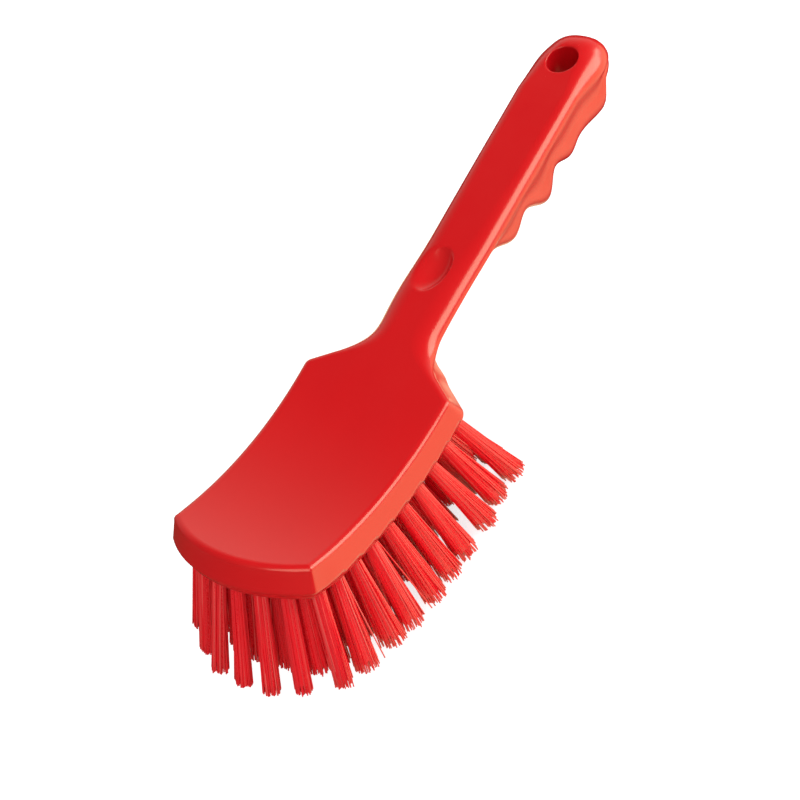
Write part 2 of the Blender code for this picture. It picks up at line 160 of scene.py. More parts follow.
class ShaderGraph:
    """The nodes of one material or world."""

    def __init__(self, tree: bpy.types.NodeTree) -> None:
        """Start from an empty node tree."""
        self.tree = tree
        tree.nodes.clear()

    def add(self, kind: str, settings: dict[str, Any], sockets: dict[Any, Any]) -> bpy.types.Node:
        """Add one node.

        Args:
            kind: The node's type name.
            settings: Node properties.
            sockets: Values or links by input name or number.

        Returns:
            The new node.
        """
        node = self.tree.nodes.new(kind)
        for name, value in settings.items():
            setattr(node, name, value)
        for name, value in sockets.items():
            if isinstance(value, Number):
                value = value.socket
            if isinstance(value, bpy.types.NodeSocket):
                self.tree.links.new(value, node.inputs[name])
            else:
                node.inputs[name].default_value = value
        return node

    def place(self) -> bpy.types.NodeSocket:
        """Return the object's own coordinates, in metres."""
        return self.add("ShaderNodeTexCoord", {}, {}).outputs["Object"]

    def noise(self, cloud: Cloud) -> Number:
        """Return a cloud pattern between 0 and 1.

        Args:
            cloud: Its size, form and range.

        Returns:
            The pattern as a number.
        """
        scale = tuple(1.0 / (cloud.size * length) for length in cloud.stretch)
        place = self.add("ShaderNodeVectorMath", {"operation": "MULTIPLY"}, {0: self.place(), 1: scale})
        sockets = {"Vector": place.outputs[0], "Scale": 1.0, "Detail": cloud.detail}
        pattern = Number(self, self.add("ShaderNodeTexNoise", {}, sockets).outputs["Fac"])
        return self.step(pattern, *cloud.span) if cloud.span else pattern

    def step(self, number: Number, low: float, high: float) -> Number:
        """Turn a number into a ramp from 0 to 1.

        Args:
            number: The number.
            low: Where the ramp is 0, and beyond it.
            high: Where the ramp is 1, and beyond it.

        Returns:
            The ramp's height.
        """
        sockets = {"Value": number, "From Min": low, "From Max": high}
        node = self.add("ShaderNodeMapRange", {"clamp": True}, sockets)
        return Number(self, node.outputs[0])

    def mark(self, mark: SurfaceMark) -> Number:
        """Return a number that the mesh carries on its points."""
        node = self.add("ShaderNodeAttribute", {"attribute_name": mark.value}, {})
        return Number(self, node.outputs["Fac"])

    def blend(self, share: Any, first: Any, second: Any) -> bpy.types.NodeSocket:
        """Return the colour that lies a share of the way from first to second.

        Args:
            share: A number between 0 and 1.
            first: The colour at 0, as three values or a socket.
            second: The colour at 1, as three values or a socket.

        Returns:
            The mixed colour's socket.
        """
        node = self.add("ShaderNodeMix", {"data_type": "RGBA"}, {0: share})
        for socket, value in ((node.inputs[6], first), (node.inputs[7], second)):
            if isinstance(value, bpy.types.NodeSocket):
                self.tree.links.new(value, socket)
            else:
                socket.default_value = (*value, 1.0)
        return node.outputs[2]

    def bump(self, height: Number, distance: float, strength: float, before: Any = None) -> bpy.types.NodeSocket:
        """Return the normal of a surface raised by a pattern.

        Args:
            height: The pattern, between 0 and 1.
            distance: How high 1 is, in metres.
            strength: How much of the bump shows, from 0 to 1.
            before: The normal of a coarser bump below this one.

        Returns:
            The normal's socket.
        """
        sockets = {"Height": height, "Distance": distance, "Strength": strength}
        if before is not None:
            sockets["Normal"] = before
        return self.add("ShaderNodeBump", {}, sockets).outputs[0]

    def parts(self, vector: bpy.types.NodeSocket) -> list[Number]:
        """Return the three parts of a vector socket as numbers."""
        node = self.add("ShaderNodeSeparateXYZ", {}, {0: vector})
        return [Number(self, output) for output in node.outputs]

    def rays(self) -> list[Number]:
        """Return a number for each kind of ray, which is 1 for rays of that kind."""
        node = self.add("ShaderNodeLightPath", {}, {})
        return [Number(self, node.outputs[kind.value]) for kind in RayKind]

    def plastic(self, colour: Any, rough: Any, normal: Any, specular: float, tint: Triple) -> bpy.types.Node:
        """Add the shader of a plastic.

        Args:
            colour: The socket of its own colour.
            rough: Its roughness.
            normal: The socket of its normal.
            specular: How strongly it mirrors.
            tint: The colour of the light that it mirrors.

        Returns:
            The shader's node.
        """
        sockets = {
            "Base Color": colour,
            "Roughness": rough,
            "Normal": normal,
            "Specular IOR Level": specular,
            "Specular Tint": (*tint, 1.0),
        }
        return self.add("ShaderNodeBsdfPrincipled", {}, sockets)

    def surface(self, shader: bpy.types.Node) -> None:
        """Make a shader the surface of this material."""
        self.add("ShaderNodeOutputMaterial", {}, {"Surface": shader.outputs[0]})


def new_material(name: str) -> tuple[bpy.types.Material, ShaderGraph]:
    """Start a material.

    Args:
        name: Its name.

    Returns:
        The material and its empty graph.
    """
    material = bpy.data.materials.new(name)
    material.use_nodes = True
    return material, ShaderGraph(material.node_tree)


@dataclass(frozen=True)
class MouldedPlastic:
    """Glossy red moulded polypropylene with flow clouds, rubbed places and fine scratches, and painted shade
    inside the hanging hole and along the slit under the shoulder's edge.
    """

    colour: Triple = (0.74, 0.0045, 0.009)
    deep_colour: Triple = (0.69, 0.0038, 0.0085)
    rubbed_colour: Triple = (0.76, 0.008, 0.011)
    # painted shade: a dark matte red that stands in for the shade inside the hanging hole and in the slit
    painted_shade_colour: Triple = (0.5, 0.004, 0.007)
    gloss_tint: Triple = (1.0, 0.93, 0.68)
    specular: float = 1.0
    roughness: float = 0.19
    rubbed_roughness: float = 0.24
    mark_roughness: float = 0.05
    flow: Cloud = Cloud(0.045, 3.0, (2.2, 1.0, 1.0), (0.35, 0.7))
    flow_share: float = 0.8
    specks: Cloud = Cloud(0.0009, 2.0, span=(0.62, 0.8))
    speck_share: float = 0.05
    wear: Cloud = Cloud(0.014, 4.0, span=(0.3, 0.75))
    wear_share: float = 0.5
    long_scratches: Cloud = Cloud(0.0007, 3.0, (14.0, 1.0, 1.0), (0.66, 0.74))
    cross_scratches: Cloud = Cloud(0.0007, 3.0, (1.5, 9.0, 2.0), (0.69, 0.76))
    long_share: float = 0.6
    scratch_height: float = 0.000012
    scratch_strength: float = 0.3
    handling: Cloud = Cloud(0.018, 3.0)
    peel: Cloud = Cloud(0.0016, 1.0)
    peel_height: float = 0.00001
    peel_strength: float = 0.35
    # where the painted shade inside the hanging hole lies
    hole_centre: float = 0.1318
    hole_reach: float = 0.0071
    hole_edge: float = 0.0003
    hole_shade_share: float = 0.9
    slit_shade_span: Span = (0.3, 0.9)

    def make(self) -> bpy.types.Material:
        """Make the finish.

        Returns:
            Its material.
        """
        material, graph = new_material("moulded_red_plastic")
        specks = graph.noise(self.specks)
        wear = graph.mark(SurfaceMark.RUB) * graph.noise(self.wear)
        body = graph.blend(graph.noise(self.flow) * self.flow_share, self.colour, self.deep_colour)
        worn = (wear * self.wear_share + specks * self.speck_share).at_most(1.0)
        colour = graph.blend(worn, body, self.rubbed_colour)
        fine = graph.noise(self.long_scratches) * self.long_share
        fine = fine + graph.noise(self.cross_scratches) * (1.0 - self.long_share)
        # painted shade: a mask of the hanging hole's inside
        forward, sideways, _ = graph.parts(graph.place())
        forward = forward - self.hole_centre
        distance = (forward * forward + sideways * sideways) ** 0.5
        hole = graph.step(distance, self.hole_reach, self.hole_reach - self.hole_edge)
        rough = self.roughness + (graph.noise(self.handling) + fine) * self.mark_roughness
        rough = rough + wear * (self.rubbed_roughness - self.roughness)
        peel = graph.bump(graph.noise(self.peel), self.peel_height, self.peel_strength)
        normal = graph.bump(fine, self.scratch_height, self.scratch_strength, peel)
        shader = graph.plastic(colour, rough, normal, self.specular, self.gloss_tint)
        # painted shade: the hanging hole's inside and the slit under the shoulder's edge turn to a dark matte red
        # in place of the shade that falls there
        shade = graph.add("ShaderNodeBsdfDiffuse", {}, {"Color": (*self.painted_shade_colour, 1.0)})
        inside = (hole * self.hole_shade_share).at_least(graph.step(graph.mark(SurfaceMark.SLIT_SHADE), *self.slit_shade_span))
        graph.surface(graph.add("ShaderNodeMixShader", {}, {0: inside, 1: shader.outputs[0], 2: shade.outputs[0]}))
        return material


@dataclass(frozen=True)
class BristleFilament:
    """Satin red polyester filament, a little different from strand to strand, with painted highlight streaks on
    some strands.
    """

    colour: Triple = (0.98, 0.01, 0.022)
    deep_colour: Triple = (0.95, 0.005, 0.016)
    tip_colour: Triple = (0.97, 0.02, 0.03)
    # painted highlight: a paler pink that stands in for the light streaks along lit filaments
    highlight_streak_colour: Triple = (0.98, 0.13, 0.11)
    gloss_tint: Triple = (1.0, 0.88, 0.76)
    specular: float = 0.85
    roughness: float = 0.25
    tone_roughness: float = 0.08
    tip_roughness: float = 0.12
    ripple_roughness: float = 0.04
    highlight_streak_span: Span = (0.78, 1.0)
    highlight_streak_share: float = 0.8
    tip_span: Span = (0.9, 1.0)
    tip_share: float = 0.5
    ripple: Cloud = Cloud(0.0006, 2.0, (1.0, 1.0, 5.0))
    ripple_height: float = 0.000015
    ripple_strength: float = 0.3

    def make(self) -> bpy.types.Material:
        """Make the finish.

        Returns:
            Its material.
        """
        material, graph = new_material("bristle_red_filament")
        tone = graph.mark(SurfaceMark.TONE)
        tip = graph.step(graph.mark(SurfaceMark.ALONG), *self.tip_span)
        plain = graph.blend(tone, self.deep_colour, self.colour)
        # painted highlight: the strands of the highest tones are paled towards the streak colour
        painted_highlight = graph.step(tone, *self.highlight_streak_span) * self.highlight_streak_share
        strand = graph.blend(painted_highlight, plain, self.highlight_streak_colour)
        colour = graph.blend(tip * self.tip_share, strand, self.tip_colour)
        ripple = graph.noise(self.ripple)
        rough = self.roughness + tone * self.tone_roughness + tip * self.tip_roughness
        rough = rough + ripple * self.ripple_roughness
        normal = graph.bump(ripple, self.ripple_height, self.ripple_strength)
        graph.surface(graph.plastic(colour, rough, normal, self.specular, self.gloss_tint))
        return material


def ease(share: Any) -> Any:
    """Return shares that start and stop gently between 0 and 1."""
    return (1.0 - np.cos(np.pi * np.clip(share, 0.0, 1.0))) / 2.0


def between(first: Any, second: Any, share: Any) -> Any:
    """Return what lies a share of the way from first to second."""
    return first + (second - first) * share


def unit(vector: Array) -> Array:
    """Return the vector of length 1 that points the same way."""
    return vector / np.linalg.norm(vector)


def quarter(steps: int) -> Array:
    """Return the angles of a quarter turn."""
    return np.linspace(0.0, math.pi / 2.0, steps + 1)


def link(data: bpy.types.ID) -> bpy.types.Object:
    """Put a mesh, lamp or camera into the scene.

    Args:
        data: What the object shows.

    Returns:
        The new object, named like its data.
    """
    thing = bpy.data.objects.new(data.name, data)
    bpy.context.scene.collection.objects.link(thing)
    return thing


def carry(mesh: bpy.types.Mesh, mark: SurfaceMark, values: Array) -> None:
    """Keep one number for each point of a mesh, for its finish to read."""
    attribute = mesh.attributes.new(mark.value, "FLOAT", "POINT")
    attribute.data.foreach_set("value", values.astype(np.float32))


def settle(piece: bpy.types.Object, material: bpy.types.Material, slot: Slot, *nodes: str) -> None:
    """Dress a piece, set it on the body and hide the CAD nodes that it stands for.

    Args:
        piece: The new piece.
        material: Its material.
        slot: The record's slot that the material belongs to; not used.
        *nodes: The CAD nodes that it replaces.
    """
    piece.data.materials.clear()
    piece.data.materials.append(material)
    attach(piece, "root")
    if nodes:
        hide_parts(*nodes)
    LOG.info("%s: %d points", piece.name, len(piece.data.vertices))


@dataclass
class BrushSpace:
    """Turns sweep coordinates into places in the frame, measured on the CAD body."""

    head_radius: float = 0.1505
    tip_station: float = 0.1842
    level_reach: float = 0.11
    origin: Vector = field(init=False)

    def __post_init__(self) -> None:
        """Find where station 0 of the top surface lies in the frame."""
        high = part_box("brush_body")[1]
        points = [vertex.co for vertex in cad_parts["brush_body"].data.vertices]
        top = max(point.z for point in points if point.x > high.x - self.level_reach)
        self.origin = Vector((high.x - self.tip_station, 0.0, top))

    def spread(self, station: Array, side: Array, depth: Array) -> Array:
        """Return the places of many sweep coordinates.

        Args:
            station: Stations along the top centre line.
            side: Distances across.
            depth: Depths below the top surface.

        Returns:
            Points with x, y and z in the last axis.
        """
        angle = np.where(station < 0.0, -station / self.head_radius, 0.0)
        sine, cosine = np.sin(angle), np.cos(angle)
        x = np.where(station < 0.0, -self.head_radius * sine, station) - sine * depth
        z = self.head_radius * (1.0 - cosine) - cosine * depth
        return np.stack([x + self.origin.x, side + self.origin.y, z + self.origin.z], axis=-1)

    def tuft_place(self, station: float, side: float, depth: float, lean: float, splay: float) -> Matrix:
        """Return the place and turn of a tuft, with its own +Z up into the block.

        Args:
            station: Where the tuft leaves the underside.
            side: How far across that is.
            depth: How thick the block is there.
            lean: Its angle towards the handle, in radians.
            splay: Its angle outwards, in radians.

        Returns:
            The matrix from the tuft's own coordinates to the frame.
        """
        angle = -station / self.head_radius if station < 0.0 else 0.0
        run = Vector((math.cos(angle), 0.0, -math.sin(angle)))
        up = Vector((math.sin(angle), 0.0, math.cos(angle)))
        down = run * math.sin(lean) - up * math.cos(lean)
        axis = down * math.cos(splay) + Vector((0.0, math.sin(splay), 0.0))
        across = Vector((0.0, 1.0, 0.0)).cross(axis).normalized()
        turn = Matrix((across, (-axis).cross(across), -axis)).transposed().to_4x4()
        point = self.spread(np.array(station), np.array(side), np.array(depth))
        return Matrix.Translation(Vector(point)) @ turn


@dataclass(frozen=True)
class MouldingSteps:
    """How finely the stretches of the half outline, the rings and the cuts are divided."""

    front: int = 24
    corner: int = 6
    side: int = 150
    rear_corner: int = 8
    shoulder: int = 14
    neck: int = 14
    handle: int = 168
    end: int = 34
    edge: int = 8
    lip: int = 3
    under: int = 8
    top: int = 20
    low: int = 12
    offsets: int = 59
    flare: int = 5
    hang_hole: int = 64
    tuft_hole: int = 24


@dataclass(frozen=True)
class RubbedPlaces:
    """Where hands and scrubbing rub the moulding."""

    grip_start: float = 0.06
    grip_length: float = 0.05
    grip_share: float = 0.7
    edge_reach: float = 0.0012
    edge_end: float = 0.01
    edge_length: float = 0.01
    tip_start: float = 0.165
    tip_length: float = 0.012
    tip_share: float = 0.5

    def amount(self, station: Array, depth: Array, edge_depth: float) -> Array:
        """Return how rubbed the surface is, more on the grip and along the head's edges.

        Args:
            station: Stations of places on the surface.
            depth: Their depths.
            edge_depth: The depth of the head's edge.

        Returns:
            Shares between 0 and 1.
        """
        grip = ease((station - self.grip_start) / self.grip_length) * self.grip_share
        edge = np.exp(-(((depth - edge_depth) / self.edge_reach) ** 2))
        edge = edge * ease(-(station - self.edge_end) / self.edge_length)
        tip = ease((station - self.tip_start) / self.tip_length) * self.tip_share
        return np.clip(grip + edge + tip, 0.0, 1.0)


@dataclass(frozen=True)
class SkinGrid:
    """One half of the moulding's skin, by place along the outline and by ring."""

    points: Array
    upper: Array
    rub: Array
    # how strongly the slit's painted shade shows, from 0 to 1
    slit: Array


@dataclass
class Moulding:
    """The head and handle, one glossy moulding lofted through rings that follow its outline."""

    space: BrushSpace
    steps: MouldingSteps = MouldingSteps()
    rubbed: RubbedPlaces = RubbedPlaces()
    head_width_rear: float = 0.0682
    head_width_front: float = 0.0648
    front_corner_station: float = -0.0806
    front_arc_rise: float = 0.0111
    rear_corner_station: float = 0.006
    front_corner_radius: float = 0.0018
    rear_corner_radius: float = 0.0035
    least_corner_share: float = 0.25
    block_thickness: float = 0.0136
    ridge_depth: float = 0.01
    side_flare: float = 0.0023
    front_flare: float = 0.0012
    front_flare_length: float = 0.012
    lip_inset: float = 0.002
    lip_round: float = 0.0007
    lip_shares: Row = (0.0, 0.3, 0.65, 1.0)
    head_edge_reach: float = 0.0028
    head_edge_drop: float = 0.0023
    head_side_shares: Row = (0.02, 0.045, 0.08, 0.3, 0.6, 0.85, 0.97)
    ridge_soft_inset: float = 0.00008
    ridge_soft_drop: float = 0.0002
    underside_insets: Row = (0.0028, 0.0056)
    neck_station: float = 0.0203
    neck_width: float = 0.028
    neck_radius: float = 0.0236
    handle_width: float = 0.0284
    handle_round_station: float = 0.1627
    handle_round_length: float = 0.0205
    handle_round_power: float = 2.7
    edge_stations: Row = (0.02, 0.04, 0.058, 0.078, 0.11, 0.15, 0.175)
    edge_reaches: Row = (0.009, 0.0096, 0.0088, 0.0074, 0.006, 0.0051, 0.01)
    edge_drops: Row = (0.0058, 0.0052, 0.005, 0.0047, 0.0043, 0.004, 0.0098)
    handle_side_shares: Row = (0.03, 0.07, 0.12, 0.3, 0.5, 0.7, 0.9)
    blend_start_station: float = 0.012
    blend_length: float = 0.016
    crease_start_station: float = 0.0165
    crease_length: float = 0.009
    crease_ring: int = 7
    crease_rings: float = 3.0
    neck_thickness: float = 0.0102
    grip_start_station: float = 0.074
    grip_length: float = 0.0978
    grip_deepest: float = 0.0252
    grip_place_shares: Row = (0.0, 0.158, 0.258, 0.409, 0.518, 0.637, 0.715, 0.91, 1.0)
    grip_depth_shares: Row = (0.405, 0.732, 0.62, 0.976, 0.726, 0.919, 0.865, 1.0, 0.693)
    neck_under_reach: float = 0.0076
    neck_under_rise: float = 0.0048
    grip_under_reach: float = 0.0041
    grip_under_rise: float = 0.0054
    neck_waist: float = 0.0011
    under_pinch: float = 0.0002
    end_swell: float = 0.001
    end_swell_station: float = 0.15
    end_swell_length: float = 0.02
    neck_swell: float = 0.0003
    neck_swell_station: float = 0.046
    neck_swell_length: float = 0.012
    neck_shift: float = 0.0009
    neck_shift_station: float = 0.045
    neck_shift_reach: float = 0.031
    side_hollow: float = 0.0013
    slit_depth: float = 0.0005
    slit_front: float = 0.0073
    slit_rear: float = 0.0172
    slit_front_length: float = 0.0015
    slit_rear_length: float = 0.003
    slit_rings: tuple[int, ...] = (8, 9, 10, 11, 12)
    slit_shares: Row = (0.0, 0.9, 1.0, 0.9, 0.0)
    wedge_rise: float = 0.0013
    wedge_front: float = -0.0754
    wedge_rear: float = 0.0042
    wedge_count: int = 9
    wedge_peak: float = 0.93
    wedge_power: float = 0.8
    wedge_rings: tuple[int, ...] = (13, 14, 15, 16, 17, 18, 19)
    wedge_shares: Row = (0.0, 0.45, 1.0, 1.0, 0.66, 0.33, 0.0)
    wedge_inset_rings: int = 17
    dish_station: float = 0.0575
    dish_side: float = 0.0027
    dish_length: float = 0.0212
    dish_width: float = 0.0152
    dish_depth: float = 0.0032
    dish_tilt: float = 0.1
    dish_slant: float = -0.65
    dish_power: float = 0.85
    hang_hole_station: float = 0.1656
    hang_hole_diameter: float = 0.0134
    hang_hole_round: float = 0.0009
    hang_hole_under_share: float = 0.3
    tuft_hole_diameter: float = 0.0054
    tuft_hole_depth: float = 0.0089
    tuft_hole_round: float = 0.0003
    flare_overrun: float = 0.0001
    flare_overrise: float = 0.002
    offset_margin: float = 0.0005
    offset_limit: float = 0.004
    merge_reach: float = 0.000004
    thin_edge: float = 0.000002
    sharp_angle: float = math.radians(38.0)

    def thickness(self, station: Array) -> Array:
        """Return how thick the brush is, with its finger grooves.

        Args:
            station: The stations.

        Returns:
            A thickness for each station.
        """
        neck = between(self.block_thickness, self.neck_thickness, self.handle_share(station))
        share = (station - self.grip_start_station) / self.grip_length
        places = np.array(self.grip_place_shares)
        depths = np.array(self.grip_depth_shares) * self.grip_deepest
        index = np.clip(np.searchsorted(places, share, side="right") - 1, 0, len(places) - 2)
        along = (share - places[index]) / (places[index + 1] - places[index])
        grip = between(depths[index], depths[index + 1], ease(along))
        held = np.where(share > 1.0, depths[-1], grip)
        return np.where(share <= 0.0, neck, held)

    def handle_share(self, station: Array) -> Array:
        """Return 0 on the head block, 1 on the handle and a blend between them."""
        return ease((station - self.blend_start_station) / self.blend_length)

    @staticmethod
    def _corner(before: Array, corner: Array, after: Array, radius: float, steps: int) -> list[Array]:
        """Return the points of a round corner between two straight runs.

        Args:
            before: A point on the run into the corner.
            corner: The sharp corner.
            after: A point on the run out of it.
            radius: The corner's radius.
            steps: How many steps the round has.

        Returns:
            The points from the first run to the second.
        """
        into, away = unit(corner - before), unit(after - corner)
        turn = math.atan2(into[0] * away[1] - into[1] * away[0], float(into @ away))
        start = corner - into * radius * math.tan(abs(turn) / 2.0)
        inward = math.copysign(1.0, turn) * np.array([-into[1], into[0]])
        centre = start + inward * radius
        points = []
        for step in range(steps + 1):
            angle = turn * step / steps
            spoke = start - centre
            cosine, sine = math.cos(angle), math.sin(angle)
            turned = [spoke[0] * cosine - spoke[1] * sine, spoke[0] * sine + spoke[1] * cosine]
            points.append(centre + np.array(turned))
        return points

    @staticmethod
    def _mitre(before: Array, corner: Array, after: Array) -> Array:
        """Return how far a corner moves for each unit that its two sides move out.

        Args:
            before: A point on the run into the corner.
            corner: The corner.
            after: A point on the run out of it.

        Returns:
            The step as station and side.
        """
        into, away = unit(corner - before), unit(after - corner)
        first = np.array([-into[1], into[0]])
        second = np.array([-away[1], away[0]])
        return (first + second) / (1.0 + float(first @ second))

    @staticmethod
    def _arc(end: Array, rise: float) -> tuple[float, float, Array]:
        """Measure the bowed front between its apex and a corner.

        Args:
            end: The corner, as station and side.
            rise: How far behind the apex it lies.

        Returns:
            The arc's radius and angle, and a point on the run into the corner.
        """
        radius = (end[1] ** 2 + rise**2) / (2.0 * rise)
        angle = math.asin(end[1] / radius)
        return radius, angle, end - np.array([math.sin(angle), math.cos(angle)])

    def outline(self, offset: float) -> Array:
        """Return the half outline, from the front apex to the handle's end, moved out by an offset.

        Args:
            offset: How far the outline is moved out.

        Returns:
            Points as station and side.
        """
        steps = self.steps
        apex = np.array([self.front_corner_station - self.front_arc_rise, 0.0])
        front = np.array([self.front_corner_station, self.head_width_front / 2.0])
        rear = np.array([self.rear_corner_station, self.head_width_rear / 2.0])
        neck = np.array([self.neck_station, self.neck_width / 2.0])
        tail = np.array([self.handle_round_station, self.handle_width / 2.0])
        lead = self._arc(front, self.front_arc_rise)[2]
        moved_apex = apex - np.array([offset, 0.0])
        moved_front = front + self._mitre(lead, front, rear) * offset
        moved_rear = rear + self._mitre(front, rear, neck) * offset
        moved_neck = neck + self._mitre(rear, neck, tail) * offset
        moved_tail = tail + np.array([0.0, offset])
        radius, whole, lead = self._arc(moved_front, moved_front[0] - moved_apex[0])
        centre = moved_apex + np.array([radius, 0.0])
        least = self.least_corner_share
        front_radius = max(self.front_corner_radius + offset, self.front_corner_radius * least)
        rear_radius = max(self.rear_corner_radius + offset, self.rear_corner_radius * least)
        front_run = self._corner(lead, moved_front, moved_rear, front_radius, steps.corner)
        rear_run = self._corner(moved_front, moved_rear, moved_neck, rear_radius, steps.rear_corner)
        neck_run = self._corner(moved_rear, moved_neck, moved_tail, self.neck_radius - offset, steps.neck)
        sweep = whole - float(np.linalg.norm(moved_front - front_run[0])) / radius
        points = []
        for step in range(steps.front):
            angle = sweep * step / steps.front
            points.append(centre + radius * np.array([-math.cos(angle), math.sin(angle)]))
        stretches = ((front_run, rear_run, steps.side), (rear_run, neck_run, steps.shoulder))
        for run, following, count in stretches:
            points += run
            points += [run[-1] + (following[0] - run[-1]) * step / count for step in range(1, count)]
        points += neck_run
        last = neck_run[-1]
        points += [last + (moved_tail - last) * step / steps.handle for step in range(1, steps.handle)]
        length = self.handle_round_length + offset
        power = 2.0 / self.handle_round_power
        for step in range(steps.end + 1):
            angle = math.pi / 2.0 * step / steps.end
            along = moved_tail[0] + length * math.sin(angle) ** power
            points.append(np.array([along, moved_tail[1] * max(math.cos(angle), 0.0) ** power]))
        points[-1][1] = 0.0
        return np.array(points)

    def head_profile(self) -> tuple[Array, Array]:
        """Return the head's rings, from the top's edge to the underside.

        Returns:
            Their offsets and their depths.
        """
        turn = quarter(self.steps.edge)
        edge = np.stack([self.head_edge_reach * (np.sin(turn) - 1.0), self.head_edge_drop * (1.0 - np.cos(turn))])
        ridge = np.array([[self.side_flare], [self.ridge_depth]])
        side = between(edge[:, -1:], ridge, np.array(self.head_side_shares))
        soft = ridge + np.array([[-self.ridge_soft_inset], [self.ridge_soft_drop]])
        bottom = self.side_flare - self.lip_inset
        lip_end = np.array([[bottom], [self.block_thickness - self.lip_round]])
        lip = between(soft, lip_end, np.array(self.lip_shares))
        curl = quarter(self.steps.lip)[1:]
        heel_offset = bottom - self.lip_round * (1.0 - np.cos(curl))
        heel_depth = self.block_thickness - self.lip_round * (1.0 - np.sin(curl))
        heel = np.stack([heel_offset, heel_depth])
        insets = np.array(self.underside_insets)
        floor = np.stack([bottom - insets, np.full(len(insets), self.block_thickness)])
        rings = np.concatenate([edge, side, lip, heel, floor], axis=1)
        return rings[0], rings[1]

    def handle_profile(self, station: Array) -> tuple[Array, Array]:
        """Return the handle's offsets and depths at stations, matching the head's ring by ring.

        Args:
            station: The stations.

        Returns:
            Offsets and depths with one row for each station.
        """
        reach = np.interp(station, self.edge_stations, self.edge_reaches)[:, None]
        drop = np.interp(station, self.edge_stations, self.edge_drops)[:, None]
        turn = quarter(self.steps.edge)[None]
        edge_offset = reach * (np.sin(turn) - 1.0)
        edge_depth = drop * (1.0 - np.cos(turn))
        thickness = self.thickness(station)[:, None]
        share = np.clip((thickness - self.neck_thickness) / (self.grip_deepest - self.neck_thickness), 0.0, 1.0)
        under_reach = between(self.neck_under_reach, self.grip_under_reach, share)
        under_rise = between(self.neck_under_rise, self.grip_under_rise, share)
        waist = between(self.neck_waist, self.under_pinch, share)
        fall = np.array(self.handle_side_shares)[None]
        side_offset = -waist * fall - self.side_hollow * share * np.sin(math.pi * fall) ** 2
        side_depth = drop + (thickness - under_rise - drop) * fall
        curl = quarter(self.steps.under)[None]
        under_offset = -waist - under_reach * (1.0 - np.cos(curl))
        under_depth = thickness - under_rise * (1.0 - np.sin(curl))
        swell = self.end_swell * ease((station - self.end_swell_station) / self.end_swell_length)[:, None]
        bump = np.exp(-(((station - self.neck_swell_station) / self.neck_swell_length) ** 2))
        bump = self.neck_swell * bump[:, None]
        edge_offset = edge_offset + bump + swell * np.sin(turn) ** 2
        side_offset = side_offset + bump * (1.0 - fall) + swell
        under_offset = under_offset + swell
        offsets = np.concatenate([edge_offset, side_offset, under_offset], axis=1)
        depths = np.concatenate([edge_depth, side_depth, under_depth], axis=1)
        return offsets, depths

    def dish(self, station: Array, side: Array) -> Array:
        """Return how deep the thumb dish is.

        Args:
            station: Stations of places on the top.
            side: Their distances across.

        Returns:
            A depth for each place.
        """
        along = (station - self.dish_station) / (self.dish_length / 2.0)
        across = (side - self.dish_side) / (self.dish_width / 2.0)
        inside = np.clip(1.0 - along**2 - across**2, 0.0, 1.0)
        slope = 1.0 + self.dish_tilt * along + self.dish_slant * across
        return self.dish_depth * inside**self.dish_power * slope

    def wedges(self, station: Array) -> Array:
        """Return how far the side's lip is cut up between the outer tufts.

        Args:
            station: The stations.

        Returns:
            Shares between 0 and 1.
        """
        place = (station - self.wedge_front) / (self.wedge_rear - self.wedge_front) * self.wedge_count
        phase = place % 1.0
        tooth = np.minimum((phase / self.wedge_peak) ** self.wedge_power, (1.0 - phase) / (1.0 - self.wedge_peak))
        return np.where((place > 0.0) & (place < self.wedge_count), tooth, 0.0)

    def slit(self, station: Array) -> Array:
        """Return how deep the slit under the shoulder's edge is, from 0 to 1."""
        rise = ease((station - self.slit_front) / self.slit_front_length)
        return rise * ease((self.slit_rear - station) / self.slit_rear_length)

    def half_grid(self) -> SkinGrid:
        """Lay out the +Y half of the skin, ring by ring.

        Returns:
            Its points and marks.
        """
        steps = self.steps
        station = self.outline(0.0)[:, 0]
        head_offset, head_depth = self.head_profile()
        handle_offset, handle_depth = self.handle_profile(station)
        rings = len(head_offset)
        low = float(min(handle_offset.min(), head_offset.min())) - self.offset_margin
        stops = np.linspace(low, self.offset_limit, steps.offsets + 1)
        table = np.stack([self.outline(float(offset)) for offset in stops])

        def plan(offsets: Array) -> Array:
            """Find outline points at offsets that may differ from place to place.

            Args:
                offsets: One for each place and ring.

            Returns:
                Their stations and sides.
            """
            position = (offsets - stops[0]) / (stops[1] - stops[0])
            index = np.clip(position.astype(int), 0, len(stops) - 2)
            share = (position - index)[..., None]
            rows = np.arange(len(station))[:, None]
            return table[index, rows] * (1.0 - share) + table[index + 1, rows] * share

